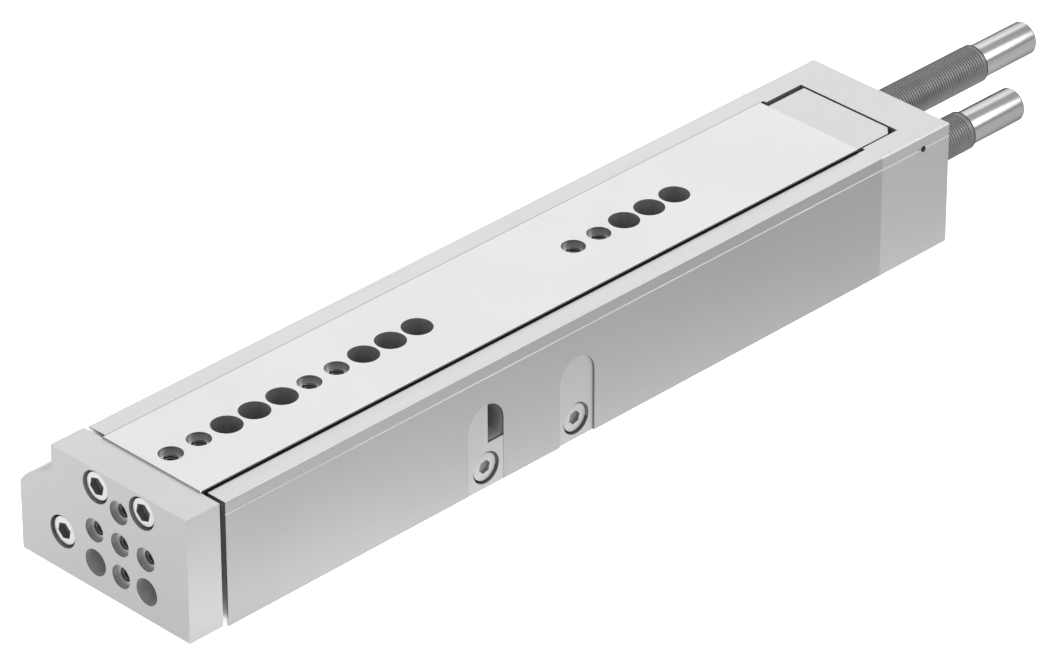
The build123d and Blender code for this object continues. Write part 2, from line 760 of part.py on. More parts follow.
def make_parts():
    """Every piece by its node name: housing side, slide side, then the ball guide."""
    x, z = bore_centre
    parts = {
        "housing": make_housing(),
        "end_cap": make_end_cap(),
        "cap_screws": make_cap_screws(),
        "cap_seal_ring": make_seal_ring(cap_seal_y()),
        "rod_bearing": make_rod_bearing(),
        "bearing_seal_ring": make_seal_ring(bearing_seal_y()),
        "rod_seal": make_rod_seal(),
        "retaining_ring": make_retaining_ring(),
        "stop_block": make_stop_block(),
        "stop_block_screw": make_side_screw(0),
        "pocket_cover": make_pocket_cover(),
        "pocket_cover_screw": make_side_screw(1),
        "retract_absorber": make_absorber(retract_x, retract_front_y),
        "retract_absorber_nut": make_absorber_nut(retract_x, cap_rear),
        "retract_plunger": make_plunger(retract_x, retract_front_y, 0),
    }
    parts |= {
        "slide_table": make_slide(),
        "front_plate": make_front_plate(),
        "plate_screws": [make_plate_screw(*place) for place in plate_screw_places()[:2]],
        "rod_screw": make_plate_screw(x, z),
        "piston_rod": make_piston_rod(),
        "piston_front": make_piston_half(rod_shoulder_y, piston_seal_places()[0]),
        "piston_rear": make_piston_half(piston_rear_y - piston_half_length, piston_seal_places()[1]),
        "piston_seals": make_piston_seals(),
        "piston_magnet": make_piston_magnet(),
        "piston_guide_ring": make_guide_ring(),
        "piston_nut": make_piston_nut(),
        "rear_block": make_rear_block(),
        "rear_block_screws": make_rear_block_screws(),
        "retract_stop_pin": make_stop_pin(),
        "advance_absorber": make_absorber(advance_x, advance_front_y),
        "advance_absorber_nut": make_absorber_nut(advance_x, slide_rear - absorber_nut_length),
        "advance_plunger": make_plunger(advance_x, advance_front_y, plunger_stroke),
    }
    for side, name in ((-1, "left"), (1, "right")):
        parts[f"raceway_{name}"] = make_raceway(side)
        parts[f"ball_cage_{name}"] = make_cage(side)
        parts[f"balls_{name}"] = make_balls(side)
    return parts


for node, shape in make_parts().items():
    if isinstance(shape, list):
        shape = Compound(children=[solid for piece in shape for solid in piece.solids()])
    export_step(shape, f"parts/{node}.step")
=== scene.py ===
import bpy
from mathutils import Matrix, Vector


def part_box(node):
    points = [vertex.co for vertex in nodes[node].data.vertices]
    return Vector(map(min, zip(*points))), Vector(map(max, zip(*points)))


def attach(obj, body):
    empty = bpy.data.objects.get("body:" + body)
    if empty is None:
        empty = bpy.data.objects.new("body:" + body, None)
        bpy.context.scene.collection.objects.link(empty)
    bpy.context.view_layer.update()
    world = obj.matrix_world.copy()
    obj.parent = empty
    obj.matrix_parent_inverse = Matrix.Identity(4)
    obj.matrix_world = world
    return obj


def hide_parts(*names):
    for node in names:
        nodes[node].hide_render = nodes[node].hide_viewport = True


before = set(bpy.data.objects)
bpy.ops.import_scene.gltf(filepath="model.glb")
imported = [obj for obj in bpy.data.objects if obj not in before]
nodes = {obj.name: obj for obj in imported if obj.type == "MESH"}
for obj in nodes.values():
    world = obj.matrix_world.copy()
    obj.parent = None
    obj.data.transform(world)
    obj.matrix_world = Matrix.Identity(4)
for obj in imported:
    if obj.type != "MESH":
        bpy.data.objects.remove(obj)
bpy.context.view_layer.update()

import math

import bmesh
import bpy
from mathutils import Matrix, Vector

mm = 0.001
print("frame loaded:", len(nodes), "nodes")


cameraSetup = {
    "azimuth": 45.1,  # degrees, like the elevation
    "elevation": 31.40,
    "roll": -0.0024,  # radians
    "lens": 231.1,
    "sensor": 36.0,
    "distance": 1.7942,
    "clipEnd": 50,
    "frameSize": (1056, 664),
    "originPixel": (160.66, 587.10),  # where the middle of the housing's front edge falls
}


def placeCamera(setup):
    azimuth, elevation = math.radians(setup["azimuth"]), math.radians(setup["elevation"])
    back = Vector((math.sin(azimuth) * math.cos(elevation),
                   -math.cos(azimuth) * math.cos(elevation),
                   math.sin(elevation)))
    right = Vector((math.cos(azimuth), math.sin(azimuth), 0))
    up = back.cross(right)
    turn = Matrix.Rotation(setup["roll"], 3, back)
    right, up = turn @ right, turn @ up
    data = bpy.data.cameras.new("camera")
    data.lens = setup["lens"]
    data.sensor_width = setup["sensor"]
    data.sensor_fit = "HORIZONTAL"
    data.clip_end = setup["clipEnd"]
    wide, high = setup["frameSize"]
    perPixel = setup["distance"] * setup["sensor"] / setup["lens"] / wide
    across = (setup["originPixel"][0] - wide / 2) * perPixel
    down = (setup["originPixel"][1] - high / 2) * perPixel
    camera = bpy.data.objects.new("camera", data)
    bpy.context.scene.collection.objects.link(camera)
    camera.matrix_world = Matrix((right, up, back)).transposed().to_4x4()
    camera.location = back * setup["distance"] - right * across + up * down
    bpy.context.scene.camera = camera


placeCamera(cameraSetup)
print("camera placed")


studio = {
    "floorSize": 6.0,
    "floorDrop": 0.1 * mm,  # so that it doesn't share the mounting face's plane
    "floorColour": (0.06, 0.06, 0.06),
    "floorRoughness": 0.9,
    "floorSpecular": 0.1,
    "glowAlong": (0.966, 0.259, 0.0),  # the floor glows less and less to the right and behind
    "glowReach": (-0.25, 0.40),  # metres along that line, from the first stop to the last
    "glowPeak": 2.1,
    # metres along the line, and the share of the peak there
    "glowStops": [(-0.25, 0.83), (-0.10, 0.83), (-0.06, 0.82), (-0.03, 0.74), (0.0, 0.69),
                  (0.016, 0.68), (0.028, 0.93), (0.036, 0.975), (0.047, 0.922), (0.063, 0.805),
                  (0.079, 0.727), (0.095, 0.653), (0.111, 0.597), (0.127, 0.534), (0.143, 0.499),
                  (0.23, 0.478), (0.40, 0.478)],
    "sameStop": 1e-6,  # stops nearer than this share of the reach are one
    "skyTop": (1.08, 1.08, 1.08),
    "skySide": (0.48, 0.48, 0.49),
    "skyStrength": 1.0,
    # name, place, width in metres, power in watts
    "lamps": [
        ("rearSoftbox", (-3.1, 3.2, 2.7), 4.4, 78.0),
        ("tailSoftbox", (2.0, 2.1, 1.75), 1.9, 36.0),
        ("frontLamp", (-0.8, -1.5, 0.6), 0.8, 2.4),
    ],
    "aim": (0.0, 0.12, 0.02),  # what the lamps point at
}


def makeFloor(setup):
    bm = bmesh.new()
    bmesh.ops.create_grid(bm, x_segments=1, y_segments=1, size=setup["floorSize"] / 2,
                          matrix=Matrix.Translation((0, 0, -setup["floorDrop"])))
    mesh = bpy.data.meshes.new("floor")
    bm.to_mesh(mesh)
    bm.free()
    floor = bpy.data.objects.new("floor", mesh)
    bpy.context.scene.collection.objects.link(floor)
    material = bpy.data.materials.new("paleFloor")
    material.use_nodes = True
    tree = material.node_tree
    shader = tree.nodes["Principled BSDF"]
    shader.inputs["Base Color"].default_value = (*setup["floorColour"], 1)
    shader.inputs["Roughness"].default_value = setup["floorRoughness"]
    shader.inputs["Specular IOR Level"].default_value = setup["floorSpecular"]
    shader.inputs["Emission Color"].default_value = (1, 1, 1, 1)
    place = tree.nodes.new("ShaderNodeTexCoord")
    reach = tree.nodes.new("ShaderNodeVectorMath")
    reach.operation = "DOT_PRODUCT"
    reach.inputs[1].default_value = setup["glowAlong"]
    share = tree.nodes.new("ShaderNodeMapRange")
    near, far = setup["glowReach"]
    share.inputs["From Min"].default_value = near
    share.inputs["From Max"].default_value = far
    ramp = tree.nodes.new("ShaderNodeValToRGB")
    stops = ramp.color_ramp.elements
    for distance, glow in setup["glowStops"]:
        position = (distance - near) / (far - near)
        already = [stop for stop in stops if abs(stop.position - position) < setup["sameStop"]]
        stop = already[0] if already else stops.new(position)
        stop.color = (glow, glow, glow, 1)
    strength = tree.nodes.new("ShaderNodeMath")
    strength.operation = "MULTIPLY"
    strength.inputs[1].default_value = setup["glowPeak"]
    tree.links.new(place.outputs["Object"], reach.inputs[0])
    tree.links.new(reach.outputs["Value"], share.inputs["Value"])
    tree.links.new(share.outputs["Result"], ramp.inputs["Fac"])
    tree.links.new(ramp.outputs["Color"], strength.inputs[0])
    tree.links.new(strength.outputs["Value"], shader.inputs["Emission Strength"])
    mesh.materials.append(material)


def makeSky(setup):
    world = bpy.data.worlds.new("studioSky")
    bpy.context.scene.world = world
    world.use_nodes = True
    tree = world.node_tree
    background = tree.nodes["Background"]
    place = tree.nodes.new("ShaderNodeTexCoord")
    split = tree.nodes.new("ShaderNodeSeparateXYZ")
    ramp = tree.nodes.new("ShaderNodeValToRGB")
    ramp.color_ramp.elements[0].color = (*setup["skySide"], 1)
    ramp.color_ramp.elements[1].color = (*setup["skyTop"], 1)
    tree.links.new(place.outputs["Generated"], split.inputs[0])
    tree.links.new(split.outputs["Z"], ramp.inputs["Fac"])
    tree.links.new(ramp.outputs["Color"], background.inputs["Color"])
    background.inputs["Strength"].default_value = setup["skyStrength"]


def hangLamps(setup):
    for name, place, size, power in setup["lamps"]:
        data = bpy.data.lights.new(name, "AREA")
        data.shape = "DISK"
        data.size = size
        data.energy = power
        lamp = bpy.data.objects.new(name, data)
        bpy.context.scene.collection.objects.link(lamp)
        lamp.location = place
        lamp.rotation_mode = "QUATERNION"
        towards = Vector(setup["aim"]) - Vector(place)
        lamp.rotation_quaternion = towards.to_track_quat("-Z", "Y")


makeFloor(studio)
makeSky(studio)
hangLamps(studio)
bpy.context.scene.view_settings.view_transform = "Standard"
print("floor, sky and lamps made")


# grain is the size of one streak along X, Y and Z, and cloudSize of one cloud, in metres
# edge is the share of the reflection at a grazing angle, all of it where none is given
# zones are boxes of painted light and shade, low and high corner in mm, where the colour is multiplied
# by the last number
finishes = {
    "bodyAnodised": {
        "colour": (0.29, 0.29, 0.29), "metallic": 0.9, "roughness": 0.34, "roughnessSpread": 0.06,
        "grain": (0.0006, 0.060, 0.0006), "grainTone": 0.03, "grainBump": 0.03,
        "cloudSize": 0.05, "cloudTone": 0.03,
        # painted light and shade: the top faces, the bump, the pocket's walls and the front face are
        # painted brighter, the fine edges painted darker to hide their highlights
        "paintedLightZones": [((-27, -1, 38.6), (27, 253, 39), 1.13),
                  ((-41, -1, 1), (-26.6, 253, 32), 1.13),
                  ((5, 90, 5), (25.9, 115, 33), 2.5),
                  ((-41, -1, -1), (25.9, 0.1, 38), 2.0),
                  ((26.2, -1, 34.6), (26.46, 253, 34.9), 0.7),
                  ((26.38, -1, 38.5), (26.6, 253, 38.67), 0.7)],
    },
    "capAnodised": {
        "colour": (0.37, 0.37, 0.37), "metallic": 0.8, "roughness": 0.42, "roughnessSpread": 0.05,
        "grain": (0.0004, 0.0004, 0.0004), "grainTone": 0.02, "grainBump": 0.02,
        "cloudSize": 0.03, "cloudTone": 0.02,
        # painted shade: the face of the side groove is darker
        "paintedLightZones": [((26.0, 252, 34.4), (26.46, 281, 34.9), 0.65)],
    },
    "plateAnodised": {
        "colour": (0.36, 0.36, 0.36), "metallic": 0.8, "roughness": 0.42, "roughnessSpread": 0.05,
        "grain": (0.0004, 0.0004, 0.0004), "grainTone": 0.02, "grainBump": 0.02,
        "cloudSize": 0.03, "cloudTone": 0.02,
        # painted light and shade in the holes: the screw seats are painted brighter, the threaded holes
        # darker, the plain ones and the part behind brighter
        "paintedLightZones": [((-26.2, -13.3, 1.2), (26.2, -2.1, 38.0), 1.5),
                  ((-13.8, -13.3, 16.0), (13.8, -2.1, 23.6), 0.8),
                  ((-3.8, -13.3, 23.6), (3.8, -2.1, 34.0), 0.8),
                  ((-3.8, -13.3, 5.0), (3.8, -2.1, 16.0), 0.8),
                  ((-15.0, -13.3, 4.0), (-5.0, -2.1, 15.0), 1.25),
                  ((5.0, -13.3, 4.0), (15.0, -2.1, 15.0), 1.25),
                  ((-41, -2.1, -1), (25.9, -1, 38.2), 1.5)],
    },
    "blockAnodised": {
        "colour": (0.345, 0.345, 0.345), "metallic": 0.8, "roughness": 0.42, "roughnessSpread": 0.05,
        "grain": (0.0004, 0.0004, 0.0004), "grainTone": 0.02, "grainBump": 0.02,
        "cloudSize": 0.03, "cloudTone": 0.02,
        # painted light: the faces in the pocket are painted brighter
        "paintedLightZones": [((5, 80, 5), (25.6, 160, 40), 2.6)],
    },
    "slideGround": {
        "colour": (0.38, 0.38, 0.38), "metallic": 0.9, "roughness": 0.36, "roughnessSpread": 0.06,
        "grain": (0.010, 0.0003, 0.010), "grainTone": 0.03, "grainBump": 0.02,
        "cloudSize": 0.04, "cloudTone": 0.03,
        # the top is ground, and the colour below it is painted: the sides and threaded holes dark as
        # painted shade, the other holes brighter as painted light, a dark line along the left edge as
        # painted shade, and the top of the front face brighter as painted light
        "paintedLightZones": [((-20, -5, 25), (20, 255, 39.52), 0.2),
                  ((-8, 1, 25), (8, 240, 39.52), 8.0),
                  ((-4, 1, 25), (4, 20, 39.52), 0.6),
                  ((-4, 51, 25), (4, 70, 39.52), 0.6),
                  ((-4, 151, 25), (4, 170, 39.52), 0.6),
                  ((-20, -5, 39.45), (-18.7, 255, 40), 0.25),
                  ((-20, -2.2, 38.9), (20, -1.6, 39.52), 10.0)],
    },
    "hardenedSteel": {
        "colour": (0.50, 0.50, 0.51), "metallic": 1.0, "roughness": 0.18, "roughnessSpread": 0.05,
        "grain": (0.0005, 0.02, 0.0005), "grainTone": 0.04, "grainBump": 0.01,
        "cloudSize": 0.02, "cloudTone": 0.03,
    },
    "zincScrew": {
        "colour": (0.47, 0.47, 0.47), "metallic": 0.95, "roughness": 0.34, "roughnessSpread": 0.08,
        "grain": (0.0005, 0.0005, 0.0005), "grainTone": 0.04, "grainBump": 0.02,
        "cloudSize": 0.002, "cloudTone": 0.05,
    },
    "plainScrew": {
        "colour": (0.37, 0.37, 0.37), "metallic": 0.85, "roughness": 0.40, "roughnessSpread": 0.05,
        "grain": (0.0005, 0.0005, 0.0005), "grainTone": 0.02, "grainBump": 0.02,
        "cloudSize": 0.002, "cloudTone": 0.03,
    },
    # painted shade: the inside of the hex sockets is dark to stand in for the shade deep in them
    "socketInsidePaintedShade": {
        "colour": (0.20, 0.20, 0.205), "metallic": 0.6, "roughness": 0.32, "roughnessSpread": 0.08,
        "grain": (0.0005, 0.0005, 0.0005), "grainTone": 0.10, "grainBump": 0.02,
        "cloudSize": 0.002, "cloudTone": 0.10,
    },
    "socketShade": {
        "colour": (0.26, 0.26, 0.265), "metallic": 0.4, "roughness": 0.60, "roughnessSpread": 0.05,
        "grain": (0.0005, 0.0005, 0.0005), "grainTone": 0.05, "grainBump": 0.02,
        "cloudSize": 0.002, "cloudTone": 0.05,
    },
    # painted shade: the threads in the holes are dark to stand in for the shade inside the holes
    "cutThreadPaintedShade": {
        "colour": (0.12, 0.12, 0.122), "metallic": 0.95, "roughness": 0.30, "roughnessSpread": 0.05,
        "grain": (0.0005, 0.0005, 0.0005), "grainTone": 0.10, "grainBump": 0.02,
        "cloudSize": 0.002, "cloudTone": 0.10,
    },
    "absorberThread": {
        "colour": (0.21, 0.215, 0.22), "metallic": 0.95, "roughness": 0.56, "roughnessSpread": 0.04,
        "edge": 0.3,
        "grain": (0.0006, 0.0006, 0.0006), "grainTone": 0.08, "grainBump": 0.03,
        "cloudSize": 0.004, "cloudTone": 0.08,
    },
    "absorberTail": {
        "colour": (0.35, 0.355, 0.36), "metallic": 1.0, "roughness": 0.25, "roughnessSpread": 0.0,
        "edge": 0.3,
        "grain": (0.0004, 0.030, 0.0004), "grainTone": 0.02, "grainBump": 0.0,
        "cloudSize": 0.01, "cloudTone": 0.02,
    },
    "blackRubber": {
        "colour": (0.02, 0.02, 0.02), "metallic": 0.0, "roughness": 0.6, "roughnessSpread": 0.1,
        "grain": (0.0006, 0.0006, 0.0006), "grainTone": 0.2, "grainBump": 0.05,
        "cloudSize": 0.003, "cloudTone": 0.2,
    },
    "sinteredMagnet": {
        "colour": (0.09, 0.09, 0.10), "metallic": 0.7, "roughness": 0.55, "roughnessSpread": 0.1,
        "grain": (0.0004, 0.0004, 0.0004), "grainTone": 0.2, "grainBump": 0.1,
        "cloudSize": 0.002, "cloudTone": 0.1,
    },
    "cagePlastic": {
        "colour": (0.66, 0.63, 0.55), "metallic": 0.0, "roughness": 0.5, "roughnessSpread": 0.05,
        "grain": (0.0005, 0.0005, 0.0005), "grainTone": 0.04, "grainBump": 0.02,
        "cloudSize": 0.01, "cloudTone": 0.03,
    },
}

finishDetail = {
    "noiseRange": (0.25, 0.75),  # most of the noise falls between these
    "grainDetail": 4,
    "cloudDetail": 3,
    "bumpHeight": 0.1 * mm,
    "zoneEdge": 0.03 * mm,  # a zone fades out over this much on either side of its wall
}


def noiseOver(tree, place, size, detail):
    stretch = tree.nodes.new("ShaderNodeMapping")
    stretch.inputs["Scale"].default_value = [1 / s for s in size]
    noise = tree.nodes.new("ShaderNodeTexNoise")
    noise.inputs["Scale"].default_value = 1.0
    noise.inputs["Detail"].default_value = detail
    tree.links.new(place.outputs["Object"], stretch.inputs["Vector"])
    tree.links.new(stretch.outputs["Vector"], noise.inputs["Vector"])
    return noise.outputs["Fac"]


def mapRange(tree, value, low, high):
    change = tree.nodes.new("ShaderNodeMapRange")
    change.inputs["From Min"].default_value = finishDetail["noiseRange"][0]
    change.inputs["From Max"].default_value = finishDetail["noiseRange"][1]
    change.inputs["To Min"].default_value = low
    change.inputs["To Max"].default_value = high
    tree.links.new(value, change.inputs["Value"])
    return change.outputs["Result"]


def inMetres(corner):
    return Vector([length * mm for length in corner])


def paintLightInBox(tree, place, tone, low, high, share):
    # painted light and shade: the tone is multiplied by the share inside the box from low to high
    last = place.outputs["Object"]
    toBox = (("SUBTRACT", (low + high) / 2), ("ABSOLUTE", None), ("SUBTRACT", (high - low) / 2))
    for operation, by in toBox:
        step = tree.nodes.new("ShaderNodeVectorMath")
        step.operation = operation
        if by is not None:
            step.inputs[1].default_value = by
        tree.links.new(last, step.inputs[0])
        last = step.outputs["Vector"]
    split = tree.nodes.new("ShaderNodeSeparateXYZ")
    tree.links.new(last, split.inputs[0])
    last = split.outputs["X"]
    for axis in "YZ":
        outer = tree.nodes.new("ShaderNodeMath")
        outer.operation = "MAXIMUM"
        tree.links.new(last, outer.inputs[0])
        tree.links.new(split.outputs[axis], outer.inputs[1])
        last = outer.outputs[0]
    edge = tree.nodes.new("ShaderNodeMapRange")
    edge.inputs["From Min"].default_value = -finishDetail["zoneEdge"]
    edge.inputs["From Max"].default_value = finishDetail["zoneEdge"]
    edge.inputs["To Min"].default_value = share
    tree.links.new(last, edge.inputs["Value"])
    both = tree.nodes.new("ShaderNodeMath")
    both.operation = "MULTIPLY"
    tree.links.new(tone.outputs[0], both.inputs[0])
    tree.links.new(edge.outputs["Result"], both.inputs[1])
    return both


def makeFinish(name, look):
    material = bpy.data.materials.new(name)
    material.use_nodes = True
    tree = material.node_tree
    shader = tree.nodes["Principled BSDF"]
    place = tree.nodes.new("ShaderNodeTexCoord")
    grain = noiseOver(tree, place, look["grain"], finishDetail["grainDetail"])
    clouds = noiseOver(tree, place, [look["cloudSize"]] * 3, finishDetail["cloudDetail"])
    grainTone = mapRange(tree, grain, 1 - look["grainTone"], 1 + look["grainTone"])
    cloudTone = mapRange(tree, clouds, 1 - look["cloudTone"], 1 + look["cloudTone"])
    tone = tree.nodes.new("ShaderNodeMath")
    tone.operation = "MULTIPLY"
    tree.links.new(grainTone, tone.inputs[0])
    tree.links.new(cloudTone, tone.inputs[1])
    # lay the zones' painted light and shade over the grain and clouds
    for low, high, share in look.get("paintedLightZones", []):
        tone = paintLightInBox(tree, place, tone, inMetres(low), inMetres(high), share)
    colour = tree.nodes.new("ShaderNodeVectorMath")
    colour.operation = "SCALE"
    colour.inputs[0].default_value = look["colour"]
    tree.links.new(tone.outputs[0], colour.inputs["Scale"])
    tree.links.new(colour.outputs[0], shader.inputs["Base Color"])
    spread = look["roughnessSpread"]
    rough = mapRange(tree, grain, look["roughness"] - spread, look["roughness"] + spread)
    tree.links.new(rough, shader.inputs["Roughness"])
    shader.inputs["Metallic"].default_value = look["metallic"]
    shader.inputs["Specular Tint"].default_value = (*[look.get("edge", 1.0)] * 3, 1)
    bump = tree.nodes.new("ShaderNodeBump")
    bump.inputs["Strength"].default_value = look["grainBump"]
    bump.inputs["Distance"].default_value = finishDetail["bumpHeight"]
    tree.links.new(grain, bump.inputs["Height"])
    tree.links.new(bump.outputs["Normal"], shader.inputs["Normal"])
    return material


materials = {name: makeFinish(name, look) for name, look in finishes.items()}
print("finishes made:", len(materials))


solidFinish = {
    "bodyAnodised": ["housing"],
    "capAnodised": ["end_cap", "rod_bearing", "rear_block", "piston_front", "piston_rear"],
    "plateAnodised": ["front_plate"],
    "blockAnodised": ["stop_block", "pocket_cover"],
    "slideGround": ["slide_table"],
    "hardenedSteel": ["raceway_left", "raceway_right", "balls_left", "balls_right", "piston_rod",
                      "retract_stop_pin", "retaining_ring", "retract_plunger", "advance_plunger"],
    "zincScrew": ["plate_screws", "rod_screw", "cap_screws", "rear_block_screws", "piston_nut"],
    "plainScrew": ["stop_block_screw", "pocket_cover_screw"],
    "absorberThread": ["retract_absorber", "advance_absorber",
                       "retract_absorber_nut", "advance_absorber_nut"],
    "blackRubber": ["cap_seal_ring", "bearing_seal_ring", "rod_seal", "piston_seals"],
    "sinteredMagnet": ["piston_magnet"],
    "cagePlastic": ["piston_guide_ring", "ball_cage_left", "ball_cage_right"],
}
for finish, names in solidFinish.items():
    for node in names:
        nodes[node].data.materials.clear()
        nodes[node].data.materials.append(materials[finish])
print("solids painted:", sum(len(names) for names in solidFinish.values()))


meshing = {
    "weld": 0.001 * mm,  # vertices nearer than this become one
    "coilWeld": 0.002 * mm,
    "ringWidth": 0.01 * mm,  # a ring's vertices are found within this of its radius
    "smoothAngle": 35,  # degrees, above which an edge is sharp
    "drillCone": 0.12,  # depth of the cone under a hexagon key, as a share of the key's width
}


def spinProfile(bm, points, steps):
    verts = [bm.verts.new((radius, 0, height)) for radius, height in points]
    edges = [bm.edges.new(pair) for pair in zip(verts, verts[1:])]
    bmesh.ops.spin(bm, geom=verts + edges, cent=(0, 0, 0), axis=(0, 0, 1), dvec=(0, 0, 0),
                   angle=2 * math.pi, steps=steps, use_merge=True)
    bmesh.ops.remove_doubles(bm, verts=bm.verts, dist=meshing["weld"])


def ringAt(bm, radius, height):
    return [e for e in bm.edges
            if all(abs(v.co.xy.length - radius) < meshing["ringWidth"]
                   and abs(v.co.z - height) < meshing["weld"] for v in e.verts)]


def extrudeRing(bm, edges):
    made = bmesh.ops.extrude_edge_only(bm, edges=edges)["geom"]
    verts = [g for g in made if isinstance(g, bmesh.types.BMVert)]
    rim = [g for g in made if isinstance(g, bmesh.types.BMEdge) and all(v in verts for v in g.verts)]
    return verts, rim, [g for g in made if isinstance(g, bmesh.types.BMFace)]


def hexagonReach(v, flats):
    # how far from the middle the hexagon's side is, in this vertex's direction
    fromFlat = math.atan2(v.co.y, v.co.x) % math.radians(60) - math.radians(30)
    return flats / 2 / math.cos(fromFlat)


def sinkHexKey(bm, ringRadius, height, flats, depth):
    rim, rimEdges, _ = extrudeRing(bm, ringAt(bm, ringRadius, height))
    for v in rim:
        v.co.xy *= hexagonReach(v, flats) / v.co.xy.length  # from the ring in to the hexagon
    low, lowEdges, walls = extrudeRing(bm, rimEdges)
    bmesh.ops.translate(bm, verts=low, vec=(0, 0, -depth))
    floor = bmesh.ops.contextual_create(bm, geom=lowEdges)["faces"]
    bmesh.ops.recalc_face_normals(bm, faces=bm.faces)
    floor = bmesh.ops.poke(bm, faces=floor, offset=-meshing["drillCone"] * flats)["faces"]
    for face in walls + floor:
        face.material_index = 1


def addMesh(bm, one):
    mesh = bpy.data.meshes.new("part")
    one.to_mesh(mesh)
    one.free()
    bm.from_mesh(mesh)
    bpy.data.meshes.remove(mesh)


def turnTo(direction, place, spinAngle=0.0):
    turn = Vector(direction).to_track_quat("Z", "Y").to_matrix().to_4x4()
    return Matrix.Translation(place) @ turn @ Matrix.Rotation(spinAngle, 4, "Z")


def finishPiece(bm, name, finishNames, body, stands=()):
    bmesh.ops.recalc_face_normals(bm, faces=bm.faces)
    mesh = bpy.data.meshes.new(name)
    bm.to_mesh(mesh)
    bm.free()
    mesh.shade_smooth()
    mesh.set_sharp_from_angle(angle=math.radians(meshing["smoothAngle"]))
    piece = bpy.data.objects.new(name, mesh)
    bpy.context.scene.collection.objects.link(piece)
    for finish in finishNames:
        mesh.materials.append(materials[finish])
    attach(piece, body)
    if stands:
        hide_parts(*stands)


screwShape = {
    "steps": 48,
    "keyRim": 0.3 * mm,  # from the hexagon's corners out to the ring it is sunk from
    "edgeRound": 0.3,  # how far the middle of the head's rounded edge is in, as a share of the edge
    "tip": 0.5 * mm,
}


def addScrew(bm, seat, direction, size, length, keyTurn):
    one = bmesh.new()
    head, headLength, shank, key, edge = (
        size[part] for part in ("head", "headLength", "shank", "key", "edge"))
    tip, rounded = screwShape["tip"], screwShape["edgeRound"] * edge
    ring = key / math.sqrt(3) + screwShape["keyRim"]
    points = [
        (ring, headLength),
        (head / 2 - edge, headLength),
        (head / 2 - rounded, headLength - rounded),
        (head / 2, headLength - edge),
        (head / 2, 0),
        (shank / 2, 0),
        (shank / 2, tip - length),
        (shank / 2 - tip, -length),
        (0, -length),
    ]
    spinProfile(one, points, screwShape["steps"])
    sinkHexKey(one, ring, headLength, key, size["keyDepth"])
    bmesh.ops.transform(one, matrix=turnTo(direction, seat, keyTurn), verts=one.verts)
    addMesh(bm, one)


m5Screw = {"head": 8.5 * mm, "headLength": 5.0 * mm, "shank": 5.0 * mm,
           "key": 4.5 * mm, "keyDepth": 2.0 * mm, "edge": 0.4 * mm}
wideKeyScrew = {**m5Screw, "key": 4.9 * mm}
m4Screw = {"head": 7.0 * mm, "headLength": 4.0 * mm, "shank": 4.0 * mm,
           "key": 3.0 * mm, "keyDepth": 1.8 * mm, "edge": 0.3 * mm}
lowScrew = {"head": 8.5 * mm, "headLength": 3.0 * mm, "shank": 5.0 * mm,
            "key": 3.7 * mm, "keyDepth": 1.0 * mm, "edge": 0.12 * mm}
# direction is the way the heads face, keyTurn is in radians
screwSets = [
    {"name": "plateScrews", "node": "plate_screws", "body": "slide_body",
     "direction": (0, -1, 0), "size": wideKeyScrew, "keyTurn": 0.3,
     "finishes": ["zincScrew", "socketInsidePaintedShade"]},
    {"name": "rodScrew", "node": "rod_screw", "body": "slide_body",
     "direction": (0, -1, 0), "size": m5Screw, "keyTurn": 0.3,
     "finishes": ["zincScrew", "socketInsidePaintedShade"]},
    {"name": "rearBlockScrews", "node": "rear_block_screws", "body": "slide_body",
     "direction": (0, 1, 0), "size": m5Screw, "keyTurn": 0.1,
     "finishes": ["zincScrew", "socketInsidePaintedShade"]},
    {"name": "stopBlockScrew", "node": "stop_block_screw", "body": "housing_body",
     "direction": (1, 0, 0), "size": lowScrew, "keyTurn": 0.25,
     "finishes": ["plainScrew", "socketShade"]},
    {"name": "pocketCoverScrew", "node": "pocket_cover_screw", "body": "housing_body",
     "direction": (1, 0, 0), "size": lowScrew, "keyTurn": 0.25,
     "finishes": ["plainScrew", "socketShade"]},
    {"name": "capScrews", "node": "cap_screws", "body": "housing_body",
     "direction": (0, 1, 0), "size": m4Screw, "keyTurn": 0.6,
     "finishes": ["zincScrew", "socketInsidePaintedShade"]},
]


def screwBoxes(node):
    # the low and high corner of each screw in the node
    bm = bmesh.new()
    bm.from_mesh(nodes[node].data)
    bmesh.ops.remove_doubles(bm, verts=bm.verts, dist=meshing["weld"])
    boxes, seen = [], set()
    for start in bm.verts:
        if start in seen:
            continue
        island, queue = [], [start]
        seen.add(start)
        while queue:
            v = queue.pop()
            island.append(v.co.copy())
            for e in v.link_edges:
                other = e.other_vert(v)
                if other not in seen:
                    seen.add(other)
                    queue.append(other)
        low = Vector([min(c[i] for c in island) for i in range(3)])
        high = Vector([max(c[i] for c in island) for i in range(3)])
        boxes.append((low, high))
    bm.free()
    return boxes


for screws in screwSets:
    bm = bmesh.new()
    size = screws["size"]
    direction = Vector(screws["direction"])
    for low, high in screwBoxes(screws["node"]):
        middle = (low + high) / 2
        reach = abs((high - low).dot(direction))
        seat = middle + direction * (reach / 2 - size["headLength"])
        addScrew(bm, seat, direction, size, reach - size["headLength"], screws["keyTurn"])
    finishPiece(bm, screws["name"], screws["finishes"], screws["body"],
                stands=[screws["node"]])
print("socket screws made:", len(screwSets), "sets")


toothShape = {
    "sunk": 0.06 * mm,  # how deep the tooth's foot is sunk in the wall
    "shares": (0.03, 0.3, 0.7, 0.97),  # of the pitch: foot, crest, crest, foot
}


